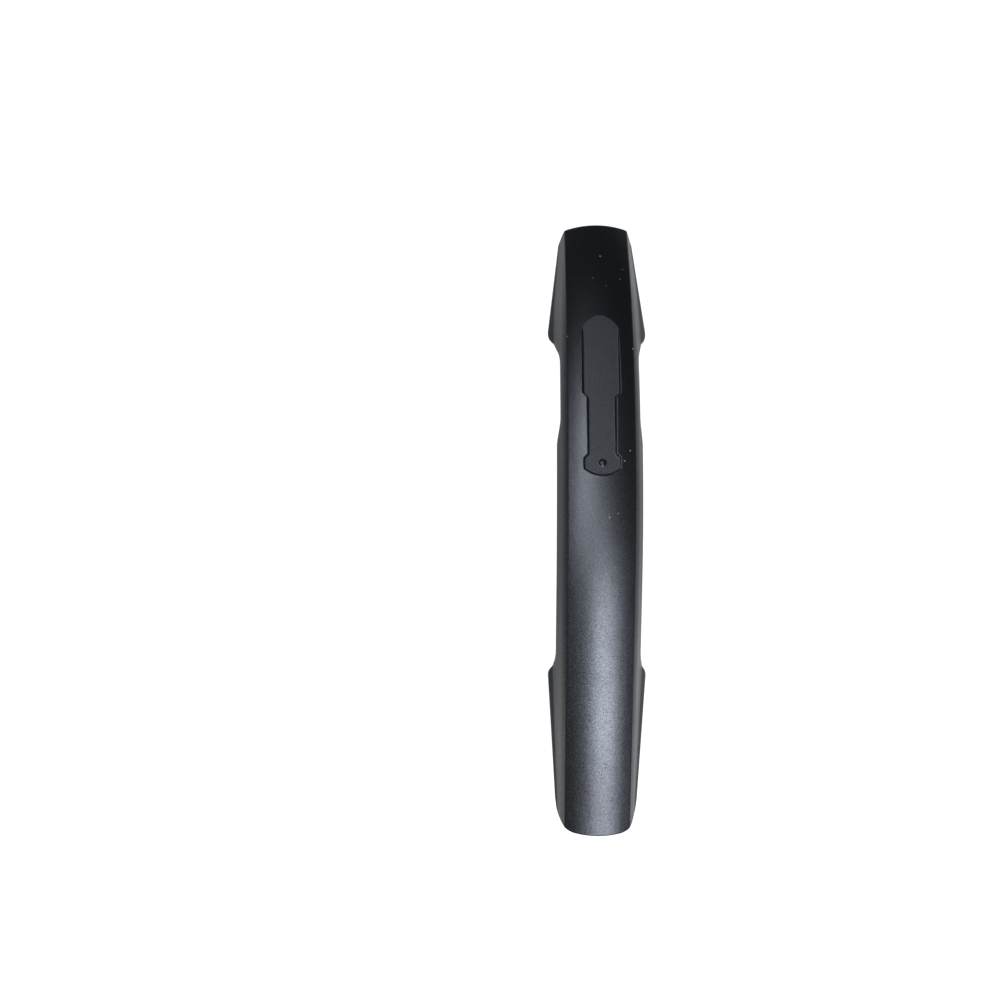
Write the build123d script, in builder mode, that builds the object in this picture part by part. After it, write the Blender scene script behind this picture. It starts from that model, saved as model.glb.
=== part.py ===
"""Front bicycle mudguard: one moulded shell, crowned, with flaring wings and a sunk bracket seat.

The shell is drawn around the wheel's axle, which lies on the X axis, and then set down on its two ends.
Places along the guard are stations, measured back from the front tip along the outside of the crown.
Depths are measured from the outside of the crown towards the axle. Millimetres and degrees.
"""
import os
from math import atan2, cos, radians, sin, tan

from build123d import *

# Path of the crown's outside: an arch round the wheel, then a straight tail
crown_radius = 386.0
arch_length = 268.6
tail_length = 161.2

# Section: a crowned top between two creases, and side walls that lean out
crown_width = 43.8
crown_rise = 4.2
crease_radius = 1.2
side_lean = 20.0
wall = 1.8

# Shoulder: below the crease the wall turns into its lean, most in the middle and least at the front
shoulder_length = 6.5
front_shoulder_turn = 2.0
middle_shoulder_turn = 24.0
tail_shoulder_turn = 10.0

# Sections drawn along the guard, and spare ones past each of its ends
section_count = 9
spare_sections = 2

# Rim of the front wing, the relief behind it and the middle, with stations from the front tip
front_corner_station = 5.0
front_corner_depth = 13.2
front_wing_station = 79.0
front_wing_depth = 27.4
relief_start = 101.5
relief_end = 148.5
relief_depth = 12.6
middle_start = 162.0
middle_depth = 18.5

# Rim of the tail wing, with lengths from the tail tip
tail_notch_length = 13.0
tail_wing_length = 106.0
tail_wing_depth = 26.8
tail_corner_setback = 11.0
tail_corner_depth = 16.1

# Rounding of the rim at the wings' inner corners, and in the hollows beside them
front_notch_radius = 15.0
tail_notch_radius = 8.0
notch_root_radius = 16.0

# Wings: the rim is folded out into a flat lip that narrows towards each end of the guard
lip_flare = 43.0
front_lip_depth = 4.7
front_lip_tip = 0.6
tail_lip_depth = 3.5
tail_lip_tip = 1.0

# Ends, seen square to the crown: a bowed edge, round corners and sides that open out
front_edge_width = 50.2
front_edge_bow = 1.2
front_corner_radius = 7.0
front_side_angle = 9.0
tail_edge_width = 51.4
tail_edge_bow = 2.8
tail_corner_radius = 14.0
tail_side_angle = 8.0

# Bracket seat: a flat floor that runs out at the crown's surface in front and is sunk at its foot
seat_start = 76.8
seat_length = 109.6
seat_foot_sink = 2.0
seat_head_width = 23.7
seat_neck_width = 17.6
seat_foot_width = 23.6
seat_foot_bow = 4.6
seat_foot_length = 11.5
seat_neck_start = 14.2
seat_neck_end = 51.7
seat_head_start = 54.8
seat_corner_radius = 1.5
seat_shoulder_radius = 0.6
seat_draft = 12.0

# Locating pip on the seat's floor, placed from the seat's foot
pip_place = 8.3
pip_radius = 2.2
pip_height = 1.5
pip_taper = 25.0
pip_edge_radius = 0.4

# Sizes that follow from the ones above
total_length = arch_length + tail_length
half_crown = crown_width / 2
section_depth = max(front_wing_depth, tail_wing_depth) + 3 * wall
trim_reach = 2 * section_depth
section_spacing = total_length / section_count
arch_sweep = arch_length / crown_radius
tail_wing_station = total_length - tail_wing_length
middle_end = tail_wing_station - tail_notch_length
tail_corner_station = total_length - tail_corner_setback
seat_reach = seat_foot_sink + seat_length**2 / (8 * crown_radius) + crown_rise

# Lean of the tail that sets the front and tail corners of the rim level with each other
front_corner_height = crown_radius - front_corner_depth
front_corner_sweep = arch_sweep - front_corner_station / crown_radius
tail_corner_height = crown_radius - tail_corner_depth
tail_lean = atan2(
    tail_corner_height - front_corner_height * cos(front_corner_sweep),
    front_corner_height * sin(front_corner_sweep) + tail_length - tail_corner_setback,
)


def upright(station):
    """Direction, in the side view, that points straight out of the crown at a station."""
    angle = max(arch_sweep - station / crown_radius, 0) - tail_lean
    return Vector(0, sin(angle), cos(angle))


def guard_point(station, depth):
    """Point in the guard's middle plane at a station and a depth."""
    out = upright(station)
    along_tail = max(station - arch_length, 0) * Vector(0, -cos(tail_lean), -sin(tail_lean))
    return out * (crown_radius - depth) + along_tail


def side_view(station, depth):
    """The same point as sketch coordinates in the side view."""
    point = guard_point(station, depth)
    return (point.Y, point.Z)


def shoulder_turn(station):
    """Angle that the side wall turns through below the crease at a station."""
    front_share = min(max(station / relief_start, 0), 1)
    tail_share = min(max((station - middle_end) / (total_length - middle_end), 0), 1)
    to_middle = front_share * (middle_shoulder_turn - front_shoulder_turn)
    to_tail = tail_share * (tail_shoulder_turn - middle_shoulder_turn)
    return front_shoulder_turn + to_middle + to_tail


def side_half_width(station, depth):
    """Half width over the side walls at a station and a depth below the shoulder."""
    lean, crease_lean = radians(side_lean), radians(side_lean + shoulder_turn(station))
    radius = shoulder_length / (crease_lean - lean)
    shoulder_depth = crown_rise + radius * (sin(crease_lean) - sin(lean))
    shoulder_half = half_crown + radius * (cos(lean) - cos(crease_lean))
    return shoulder_half + (depth - shoulder_depth) * tan(lean)


def section_sketch(station, inset):
    """Section of the guard at a station, inset from its outside, with the crown's top at its origin."""
    out = upright(station)
    turn = shoulder_turn(station)
    crease_lean = radians(side_lean + turn)
    foot = (side_half_width(station, section_depth), -section_depth)
    across = Plane(origin=guard_point(station, 0), x_dir=(1, 0, 0), z_dir=(0, -out.Z, out.Y))
    with BuildSketch(across) as section:
        with BuildLine():
            shoulder = JernArc(
                start=(half_crown, -crown_rise),
                tangent=(sin(crease_lean), -cos(crease_lean)),
                radius=shoulder_length / radians(turn),
                arc_size=-turn,
            )
            Line(shoulder @ 1, foot)
            mirror(about=Plane.YZ)
            ThreePointArc((-half_crown, -crown_rise), (0, 0), (half_crown, -crown_rise))
            Line(foot, (-foot[0], foot[1]))
        make_face()
        if inset:
            offset(amount=-inset)
        fillet(section.vertices().group_by(Axis.Y)[-1], crease_radius)
    return section.sketch


def wing_sketches(rear, front, inset):
    """Two sections of the tapering wedge that gives one wing its flat lips, inset from its outside.

    The wedge runs along the fold between wall and lip, from a rear to a front place on the rim.
    Each place is a station, the rim's depth and the lip's depth.
    """
    folds = [guard_point(station, depth - lip) for station, depth, lip in (rear, front)]
    halves = [side_half_width(station, depth - lip) for station, depth, lip in (rear, front)]
    fold = folds[1] - folds[0]
    overrun = trim_reach / fold.length
    spread = tan(radians(lip_flare))
    top = max(rear[2], front[2])
    foot = -top - 3 * wall
    sketches = []
    for share in (-overrun, 1 + overrun):
        half = halves[0] + share * (halves[1] - halves[0]) - inset / cos(radians(lip_flare))
        right = [(half - top * spread, top), (half - foot * spread, foot)]
        across = Plane(origin=folds[0] + fold * share, x_dir=(1, 0, 0), z_dir=fold * -1)
        with BuildSketch(across) as wedge:
            Polygon(*right, *[(-x, y) for x, y in reversed(right)], align=None)
        sketches.append(wedge.sketch)
    return sketches


def end_sketch(station, outward, edge_width, bow, corner_radius, side_angle):
    """What is cut away round one end, drawn square to the crown with the tip at its origin."""
    edge_half = edge_width / 2
    wide = side_half_width(station, section_depth) + trim_reach
    back = bow + (wide - edge_half) / tan(radians(side_angle))
    right = [(edge_half, -bow), (wide, -back), (wide, wide)]
    tip = Plane(origin=guard_point(station, 0), x_dir=(outward, 0, 0), z_dir=upright(station))
    with BuildSketch(tip) as end:
        with BuildLine():
            ThreePointArc((-edge_half, -bow), (0, 0), (edge_half, -bow))
            Polyline(*right, *[(-x, y) for x, y in reversed(right)])
        make_face()
        for side in (-edge_half, edge_half):
            fillet(end.vertices().sort_by_distance((side, -bow, 0))[0], corner_radius)
    return end.sketch


def rim_sketch():
    """Side view of everything between the guard's rim and the axle."""
    front_notch = side_view(front_wing_station, front_wing_depth)
    front_corner = side_view(front_corner_station, front_corner_depth)
    tail_notch = side_view(tail_wing_station, tail_wing_depth)
    tail_corner = side_view(tail_corner_station, tail_corner_depth)
    relief_front = side_view(relief_start, relief_depth)
    relief_rear = side_view(relief_end, relief_depth)
    middle_front = side_view(middle_start, middle_depth)
    middle_tangent = side_view(arch_length, middle_depth)
    middle_rear = side_view(middle_end, middle_depth)
    front_out = tuple(2 * corner - notch for corner, notch in zip(front_corner, front_notch))
    tail_out = tuple(2 * corner - notch for corner, notch in zip(tail_corner, tail_notch))
    with BuildSketch(Plane.YZ) as rim:
        with BuildLine():
            Polyline(front_out, front_notch, relief_front)
            RadiusArc(relief_front, relief_rear, relief_depth - crown_radius)
            Line(relief_rear, middle_front)
            RadiusArc(middle_front, middle_tangent, middle_depth - crown_radius)
            Polyline(middle_tangent, middle_rear, tail_notch, tail_out, (0, 0), front_out)
        make_face()
        for corner, radius in ((front_notch, front_notch_radius), (tail_notch, tail_notch_radius)):
            fillet(rim.vertices().sort_by_distance((*corner, 0))[0], radius)
        for corner in (relief_front, relief_rear, middle_front, middle_rear):
            fillet(rim.vertices().sort_by_distance((*corner, 0))[0], notch_root_radius)
    return rim.sketch


def seat_plane(height):
    """Plane at a height over the seat's floor, with its origin at the foot and Y to the front."""
    foot = guard_point(seat_start + seat_length, seat_foot_sink)
    run_out = guard_point(seat_start, 0)
    floor = Plane(origin=foot, x_dir=(1, 0, 0), z_dir=Vector(1, 0, 0).cross(run_out - foot))
    return floor.offset(height)


def seat_sketch(height, margin):
    """Outline of the seat at a height over its floor, moved out by a margin."""
    grow = margin + height * tan(radians(seat_draft))
    widths = (seat_head_width, seat_neck_width, seat_foot_width)
    head, neck, foot = (width / 2 + grow for width in widths)
    shoulders = [
        (foot, seat_foot_length),
        (neck, seat_neck_start),
        (neck, seat_neck_end),
        (head, seat_head_start),
    ]
    right = [(foot, seat_foot_bow - grow), *shoulders, (head, seat_length + crown_width)]
    with BuildSketch(seat_plane(height)) as seat:
        with BuildLine():
            ThreePointArc((-foot, seat_foot_bow - grow), (0, -grow), (foot, seat_foot_bow - grow))
            Polyline(*right, *[(-x, y) for x, y in reversed(right)])
        make_face()
        for x, y in shoulders:
            for corner in ((x, y, 0), (-x, y, 0)):
                fillet(seat.vertices().sort_by_distance(corner)[0], seat_shoulder_radius)
        fillet(seat.vertices().group_by(Axis.Y)[0], seat_corner_radius)
    return seat.sketch


# Profiles of the outside and, a wall further in, of the room under the guard
places = range(-spare_sections, section_count + spare_sections + 1)
stations = [section_spacing * place for place in places]
outer_sections = [section_sketch(station, 0) for station in stations[1:-1]]
inner_sections = [section_sketch(station, wall) for station in stations]
front_notch_rim = (front_wing_station, front_wing_depth, front_lip_depth)
front_corner_rim = (front_corner_station, front_corner_depth, front_lip_tip)
tail_notch_rim = (tail_wing_station, tail_wing_depth, tail_lip_depth)
tail_corner_rim = (tail_corner_station, tail_corner_depth, tail_lip_tip)
outer_wings = [
    wing_sketches(front_notch_rim, front_corner_rim, 0),
    wing_sketches(tail_corner_rim, tail_notch_rim, 0),
]
inner_wings = [
    wing_sketches(front_notch_rim, front_corner_rim, wall),
    wing_sketches(tail_corner_rim, tail_notch_rim, wall),
]
front_trim = end_sketch(
    0, 1, front_edge_width, front_edge_bow, front_corner_radius, front_side_angle
)
tail_trim = end_sketch(
    total_length, -1, tail_edge_width, tail_edge_bow, tail_corner_radius, tail_side_angle
)
seat_room = [seat_sketch(height, 0) for height in (0, seat_reach)]
seat_pad = [seat_sketch(height, wall) for height in (-wall, seat_reach)]
rim_trim = rim_sketch()

# Room under the guard, which leaves the wall and the pad below the seat's floor
with BuildPart() as hollow:
    loft(inner_sections)
    for wing in inner_wings:
        loft(wing, ruled=True)
    loft(seat_pad, ruled=True, mode=Mode.SUBTRACT)

# What is cut away along the rim and round both ends
with BuildPart() as trims:
    for trim in (rim_trim, front_trim, tail_trim):
        extrude(trim, amount=trim_reach, both=True)

# The shell, still round the axle
with BuildPart() as shell:
    loft(outer_sections)
    for wing in outer_wings:
        loft(wing, ruled=True)
    add(hollow.part, mode=Mode.SUBTRACT)
    add(trims.part, mode=Mode.SUBTRACT)

    # Bracket seat and its locating pip with a rounded top edge
    loft(seat_room, ruled=True, mode=Mode.SUBTRACT)
    with BuildSketch(seat_plane(0)):
        with Locations((0, pip_place)):
            Circle(pip_radius)
    extrude(amount=pip_height, taper=pip_taper)
    pip_top = seat_plane(pip_height).from_local_coords((0, pip_place, 0))
    fillet(shell.faces().sort_by_distance(pip_top)[0].edges(), pip_edge_radius)

# The finished guard, set down on its two ends
shell_box = shell.part.bounding_box()
with BuildPart() as mudguard:
    with Locations((0, -shell_box.center().Y, -shell_box.min.Z)):
        add(shell.part)

os.makedirs("parts", exist_ok=True)
mudguard.part.label = "mudguard"
export_step(mudguard.part, "parts/mudguard.step")
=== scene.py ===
"""Looks of the front mudguard: satin black moulded plastic on a white floor, seen from above."""
from math import radians

import bmesh
import bpy
from mathutils import Matrix, Quaternion, Vector

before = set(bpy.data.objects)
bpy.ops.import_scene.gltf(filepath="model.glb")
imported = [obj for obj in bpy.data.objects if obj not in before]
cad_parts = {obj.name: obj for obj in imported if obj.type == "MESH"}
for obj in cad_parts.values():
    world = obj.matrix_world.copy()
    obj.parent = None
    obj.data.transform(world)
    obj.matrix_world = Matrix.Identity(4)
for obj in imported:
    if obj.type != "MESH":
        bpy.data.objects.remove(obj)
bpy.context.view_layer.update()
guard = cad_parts["mudguard"]
scene = bpy.context.scene
scene.view_settings.view_transform = "Standard"

MM = 0.001

# Plastic: a deep black, paler and smoother in worn patches, with its moulded edges a little rounded
PLASTIC_DEEP = (0.0014, 0.0013, 0.0015, 1)
PLASTIC_WORN = (0.0030, 0.0029, 0.0032, 1)
PLASTIC_IOR = 1.45
EDGE_ROUNDING = 1.2 * MM
WEAR_SCALE = 26.0
WEAR_LIMITS = (0.35, 0.75)
WEAR_SMOOTHING = 0.02

# Grain of the mould: pits that sparkle most at the tail
GRAIN_SCALE = 1500.0
GRAIN_DEPTH = 0.2 * MM
GRAIN_STRENGTH = 0.3
GRAIN_ROUGHNESS = (0.35, 0.38)
GLOSS = 0.5
SPARKLE = 0.38
FRONT_SPARKLE_SHARE = 0.4
SPARKLE_FADES_FROM = -80 * MM
SPARKLE_FADES_TO = 60 * MM

# Painted shade in inner corners: gloss taken down there, most in those to the left and at the foot of the
# seat
CORNER_REACH = 1.7 * MM
CORNER_LEAN = (-0.45, -0.3, 0)
CORNER_LIMITS = (0.6, 0.92)
CORNER_SHADE_GLOSS = 0.15

# Seat: a painted highlight, a pale line on its right edge, within its length, its inside limits and its
# outside limits
SEAT_PAINTED_HIGHLIGHT = (0.042, 0.042, 0.045, 1)
SEAT_MIDDLE = 86.0 * MM
SEAT_HALF_LENGTH = 58.0 * MM
SEAT_EDGE_INSIDE = (4.0 * MM, 8.0 * MM)
SEAT_EDGE_OUTSIDE = (14.5 * MM, 13.5 * MM)

# Dust: its colour, and the larger specks, the one on the pip a painted glint, not dust: place across, place
# along and radius, in mm
DUST_AND_GLINT = (0.16, 0.16, 0.17, 1)
DUST_SPECKS_AND_GLINT = (
    (1.7, 183.4, 0.55), (16.9, 173.7, 0.3), (14.7, 166.0, 0.35), (-3.8, 166.1, 0.3), (4.8, 160.1, 0.3),
    (-21.6, 124.1, 0.4), (21.5, 115.3, 0.5),
    # the speck at 0.1, 36.5 on the pip is a painted glint
    (18.1, 46.6, 0.4), (14.4, 39.8, 0.45), (0.1, 36.5, 0.42), (10.0, 5.8, 0.38), (4.4, 3.2, 0.43),
)
FINE_DUST_SCALE = 120.0
FINE_DUST_SIZE = (0.035, 0.02)
FINE_DUST_CHANCE = (0.86, 0.88)

# Floor: its grey, what it adds to show as white, and a painted reflection, its glow seen only in the
# guard's gloss, brightest at the tail
FLOOR_HALF_SIZE = 6.0
FLOOR_GREY = (0.14, 0.14, 0.14, 1)
FLOOR_LIFT = 0.95
FLOOR_LIGHT_CENTRE = (0.06, 0, 0)
FLOOR_LIGHT_FADES = (0.2, 0.42)
FLOOR_LIGHT_BESIDE = 0.43
FLOOR_LIGHT_IN_FRONT = 0.69
FLOOR_FRONT_WAY = (0.5, 1, 0)
FLOOR_FRONT_LIMITS = (0.05, 0.2)
FLOOR_LIGHT_ADDED_AT_TAIL = 0.44
FLOOR_TAIL_WAY = (0.4, -1, 0)
FLOOR_TAIL_LIMITS = (0.03, 0.13)

# Light: cool soft boxes in a dim room, with paler walls to the left and right
LAMP_COLOUR = (0.79, 0.855, 1.0)
LAMP_DISTANCE = 1.5
ROOM_COLOUR = (0.9, 0.94, 1.0, 1)
ROOM_LIGHT = 0.034
SIDE_WALL_LIGHT = 0.5
SIDE_WALL_LIMITS = (0.75, 0.97)
BACKGROUND_WHITE = 0.955

# Camera: its place, its turns about X, Y and Z in degrees, and its lens
CAMERA_PLACE = (-0.060676, -0.020755, 0.68001)
CAMERA_TURNS = (3.198, 0.482, 0.172)
CAMERA_LENS = 35.1
CAMERA_SENSOR = 36.0


def node(tree, kind, inputs=None, **settings):
    """One shader node with its settings and the values of its sockets."""
    made = tree.nodes.new("ShaderNode" + kind)
    for name, value in settings.items():
        setattr(made, name, value)
    for name, value in (inputs or {}).items():
        made.inputs[name].default_value = value
    return made


def join(tree, source, output, target, socket):
    """Runs one output into one socket."""
    tree.links.new(source.outputs[output], target.inputs[socket])


def ramp(tree, source, output, low, high, start=0.0, end=1.0):
    """Turns values from low to high into values from start to end."""
    made = node(tree, "MapRange", {1: low, 2: high, 3: start, 4: end})
    join(tree, source, output, made, 0)
    return made


def combine(tree, operation, *values):
    """One sum: each value is a number, or a node and its output."""
    made = node(tree, "Math", operation=operation)
    for place, value in enumerate(values):
        if isinstance(value, tuple):
            join(tree, *value, made, place)
        else:
            made.inputs[place].default_value = value
    return made


def coat(tree, under, colour, share):
    """A colour laid over another by a share."""
    made = node(tree, "Mix", {7: colour}, data_type="RGBA")
    join(tree, share, 0, made, 0)
    join(tree, under, 2, made, 6)
    return made


def settled_dust_and_glint(tree, place, face):
    """Dust on faces that look up: the larger specks one by one, the one on the pip a painted glint, and
    fine ones in a few cells all over.
    """
    facing = node(tree, "SeparateXYZ")
    join(tree, face, "Normal", facing, 0)
    upward = ramp(tree, facing, "Z", 0.0, 0.3)
    cells = node(tree, "TexVoronoi", {"Scale": FINE_DUST_SCALE, "Randomness": 1.0})
    join(tree, place, "Object", cells, "Vector")
    fine = ramp(tree, cells, "Distance", *FINE_DUST_SIZE)
    chance = node(tree, "SeparateColor")
    join(tree, cells, "Color", chance, 0)
    few = ramp(tree, chance, 0, *FINE_DUST_CHANCE)
    dust_and_glint = combine(tree, "MULTIPLY", (fine, 0), (few, 0))
    flat = node(tree, "VectorMath", {1: (1, 1, 0)}, operation="MULTIPLY")
    join(tree, place, "Object", flat, 0)
    for across, along, radius in DUST_SPECKS_AND_GLINT:
        away = node(tree, "VectorMath", {1: (across * MM, along * MM, 0)}, operation="DISTANCE")
        join(tree, flat, 0, away, 0)
        speck = ramp(tree, away, "Value", 1.2 * radius * MM, 0.5 * radius * MM)
        dust_and_glint = combine(tree, "MAXIMUM", (dust_and_glint, 0), (speck, 0))
    return combine(tree, "MULTIPLY", (dust_and_glint, 0), (upward, 0))


def inner_corners(tree, face):
    """Open room in front of each face, less in inner corners, with the faces leaned to one side; it places
    the painted corner shade.
    """
    lean = node(tree, "VectorMath", {1: CORNER_LEAN}, operation="ADD")
    join(tree, face, "Normal", lean, 0)
    corners = node(tree, "AmbientOcclusion", {"Distance": CORNER_REACH}, samples=12)
    join(tree, lean, 0, corners, "Normal")
    return corners


def painted_seat_highlight(tree, spot, face, edges, corners):
    """A painted highlight: a pale line along the right edge of the seat, at the top of its wall and not at
    its foot.
    """
    turned = node(tree, "VectorMath", operation="DOT_PRODUCT")
    join(tree, edges, 0, turned, 0)
    join(tree, face, "Normal", turned, 1)
    edge = ramp(tree, turned, "Value", 0.99, 0.9)
    outer = ramp(tree, corners, "AO", 0.9, 0.98)
    right = ramp(tree, spot, "X", *SEAT_EDGE_INSIDE)
    beside = ramp(tree, spot, "X", *SEAT_EDGE_OUTSIDE)
    lengthways = combine(tree, "SUBTRACT", (spot, "Y"), SEAT_MIDDLE)
    reach = combine(tree, "ABSOLUTE", (lengthways, 0))
    within = ramp(tree, reach, 0, SEAT_HALF_LENGTH, SEAT_HALF_LENGTH - 1 * MM)
    painted_line = combine(tree, "MULTIPLY", (edge, 0), (outer, 0))
    for limit in (right, beside, within):
        painted_line = combine(tree, "MULTIPLY", (painted_line, 0), (limit, 0))
    return painted_line


def moulded_plastic():
    """Satin black plastic with a spark-eroded grain, worn patches, a painted highlight on the seat's right
    edge, gloss painted down as shade in inner corners, and a little dust with one painted glint.
    """
    made = bpy.data.materials.new("satin_black_plastic")
    made.use_nodes = True
    tree = made.node_tree
    shader = tree.nodes["Principled BSDF"]
    shader.inputs["IOR"].default_value = PLASTIC_IOR
    place = node(tree, "TexCoord")
    face = node(tree, "NewGeometry")
    spot = node(tree, "SeparateXYZ")
    join(tree, place, "Object", spot, 0)

    # Grain, over edges that are slightly rounded
    edges = node(tree, "Bevel", {"Radius": EDGE_ROUNDING}, samples=6)
    grain = node(tree, "TexNoise", {"Scale": GRAIN_SCALE, "Detail": 2.0, "Roughness": 0.55})
    join(tree, place, "Object", grain, "Vector")
    pits = node(tree, "Bump", {"Strength": GRAIN_STRENGTH, "Distance": GRAIN_DEPTH})
    join(tree, grain, 0, pits, "Height")
    join(tree, edges, 0, pits, "Normal")
    join(tree, pits, 0, shader, "Normal")

    # Colour: worn patches, then the painted highlight on the seat's edge, then dust with one painted glint
    # on the pip
    wear = node(tree, "TexNoise", {"Scale": WEAR_SCALE, "Detail": 3.0, "Roughness": 0.5})
    join(tree, place, "Object", wear, "Vector")
    worn = ramp(tree, wear, 0, *WEAR_LIMITS)
    body = node(tree, "Mix", {6: PLASTIC_DEEP, 7: PLASTIC_WORN}, data_type="RGBA")
    join(tree, worn, 0, body, 0)
    corners = inner_corners(tree, face)
    # the seat's pale edge line is a painted highlight
    edged = coat(tree, body, SEAT_PAINTED_HIGHLIGHT, painted_seat_highlight(tree, spot, face, edges, corners))
    # dust, with one painted glint on the pip
    with_dust_and_glint = coat(tree, edged, DUST_AND_GLINT, settled_dust_and_glint(tree, place, face))
    join(tree, with_dust_and_glint, 2, shader, "Base Color")

    # Gloss sparkles with the grain and is painted down as shade in inner corners
    # painted shade: less gloss in inner corners
    painted_corner_shade = ramp(tree, corners, "AO", *CORNER_LIMITS, CORNER_SHADE_GLOSS, 1.0)
    sharpness = ramp(tree, spot, "Y", SPARKLE_FADES_TO, SPARKLE_FADES_FROM, FRONT_SPARKLE_SHARE, 1.0)
    pit = ramp(tree, grain, 0, 0.25, 0.75, -SPARKLE, SPARKLE)
    sparkle = combine(tree, "MULTIPLY_ADD", (pit, 0), (sharpness, 0), GLOSS)
    gloss = combine(tree, "MULTIPLY", (sparkle, 0), (painted_corner_shade, 0))
    join(tree, gloss, 0, shader, "Specular IOR Level")

    # Roughness follows the grain and the wear
    tooth = ramp(tree, grain, 0, 0.3, 0.7, *GRAIN_ROUGHNESS)
    smoother = ramp(tree, worn, 0, 0.0, 1.0, WEAR_SMOOTHING, -WEAR_SMOOTHING)
    rough = combine(tree, "ADD", (tooth, 0), (smoother, 0))
    join(tree, rough, 0, shader, "Roughness")
    return made


def painted_floor_reflection(tree):
    """Painted reflection: the floor's glow seen only in the guard's gloss, by its place on the floor."""
    place = node(tree, "TexCoord")
    away = node(tree, "VectorMath", {1: FLOOR_LIGHT_CENTRE}, operation="DISTANCE")
    join(tree, place, "Object", away, 0)
    near = ramp(tree, away, "Value", *FLOOR_LIGHT_FADES, 1.0, 0.0)
    ahead = node(tree, "VectorMath", {1: FLOOR_FRONT_WAY}, operation="DOT_PRODUCT")
    join(tree, place, "Object", ahead, 0)
    front = ramp(tree, ahead, "Value", *FLOOR_FRONT_LIMITS, FLOOR_LIGHT_BESIDE, FLOOR_LIGHT_IN_FRONT)
    behind = node(tree, "VectorMath", {1: FLOOR_TAIL_WAY}, operation="DOT_PRODUCT")
    join(tree, place, "Object", behind, 0)
    tail = ramp(tree, behind, "Value", *FLOOR_TAIL_LIMITS, 0.0, FLOOR_LIGHT_ADDED_AT_TAIL)
    lightness = combine(tree, "ADD", (front, 0), (tail, 0))
    return combine(tree, "MULTIPLY", (near, 0), (lightness, 0))


def white_floor():
    """A floor that shows as white and still takes the shadow."""
    sheet = bmesh.new()
    bmesh.ops.create_grid(sheet, x_segments=1, y_segments=1, size=FLOOR_HALF_SIZE)
    mesh = bpy.data.meshes.new("floor")
    sheet.to_mesh(mesh)
    sheet.free()
    floor = bpy.data.objects.new("floor", mesh)
    scene.collection.objects.link(floor)
    made = bpy.data.materials.new("floor_white")
    made.use_nodes = True
    tree = made.node_tree
    tree.nodes.remove(tree.nodes["Principled BSDF"])
    lit = node(tree, "BsdfDiffuse", {"Color": FLOOR_GREY})
    rays = node(tree, "LightPath")
    # painted reflection: the floor glows only for glossy rays, lighter or dimmer by its place
    painted_reflection = combine(tree, "MULTIPLY", (rays, "Is Glossy Ray"), (painted_floor_reflection(tree), 0))
    lift = combine(tree, "MULTIPLY_ADD", (rays, "Is Camera Ray"), FLOOR_LIFT, (painted_reflection, 0))
    glow = node(tree, "Emission")
    join(tree, lift, 0, glow, "Strength")
    both = node(tree, "AddShader")
    join(tree, lit, 0, both, 0)
    join(tree, glow, 0, both, 1)
    join(tree, both, 0, tree.nodes["Material Output"], "Surface")
    mesh.materials.append(made)


def soft_box(name, towards, width, height, power, turn=0.0):
    """A soft box that shines on the guard from one direction, turned in its own plane."""
    lamp = bpy.data.lights.new(name, "AREA")
    lamp.shape = "RECTANGLE"
    lamp.size, lamp.size_y = width, height
    lamp.energy = power
    lamp.color = LAMP_COLOUR
    box = bpy.data.objects.new(name, lamp)
    away = Vector(towards).normalized()
    box.location = away * LAMP_DISTANCE
    box.rotation_mode = "QUATERNION"
    box.rotation_quaternion = away.to_track_quat("Z", "Y") @ Quaternion((0, 0, 1), radians(turn))
    box.visible_camera = False
    scene.collection.objects.link(box)


def room():
    """A dim room with paler walls to the left and right, and plain white behind the floor."""
    made = bpy.data.worlds.new("room")
    made.use_nodes = True
    tree = made.node_tree
    walls = tree.nodes["Background"]
    walls.inputs["Color"].default_value = ROOM_COLOUR
    place = node(tree, "TexCoord")
    spot = node(tree, "SeparateXYZ")
    join(tree, place, "Generated", spot, 0)
    sideways = combine(tree, "ABSOLUTE", (spot, "X"))
    strength = ramp(tree, sideways, 0, *SIDE_WALL_LIMITS, ROOM_LIGHT, SIDE_WALL_LIGHT)
    join(tree, strength, 0, walls, "Strength")
    white = node(tree, "Background", {"Color": (1, 1, 1, 1), "Strength": BACKGROUND_WHITE})
    rays = node(tree, "LightPath")
    both = node(tree, "MixShader")
    join(tree, rays, "Is Camera Ray", both, 0)
    join(tree, walls, 0, both, 1)
    join(tree, white, 0, both, 2)
    join(tree, both, 0, tree.nodes["World Output"], "Surface")
    scene.world = made


def photo_camera():
    """The camera over the guard, a little to its left and nearly square to the floor."""
    lens = bpy.data.cameras.new("camera")
    lens.sensor_width = CAMERA_SENSOR
    lens.lens = CAMERA_LENS
    lens.clip_start, lens.clip_end = 0.01, 50.0
    camera = bpy.data.objects.new("camera", lens)
    turn = Matrix.Identity(4)
    for angle, axis in zip(CAMERA_TURNS, "XYZ"):
        turn @= Matrix.Rotation(radians(angle), 4, axis)
    camera.matrix_world = Matrix.Translation(CAMERA_PLACE) @ turn
    scene.collection.objects.link(camera)
    scene.camera = camera


guard.data.materials.clear()
guard.data.materials.append(moulded_plastic())

white_floor()
soft_box("key", towards=(0.18, -0.585, 0.79), width=0.68, height=0.37, power=31.5, turn=-32)
soft_box("side", towards=(-0.30, 0.145, 0.94), width=1.24, height=0.42, power=23.0, turn=10)
soft_box("top", towards=(0.015, -0.22, 0.97), width=0.58, height=0.74, power=9.0, turn=18)
soft_box("fill", towards=(-0.06, 0.29, 0.93), width=0.90, height=0.66, power=1.0)
room()
photo_camera()
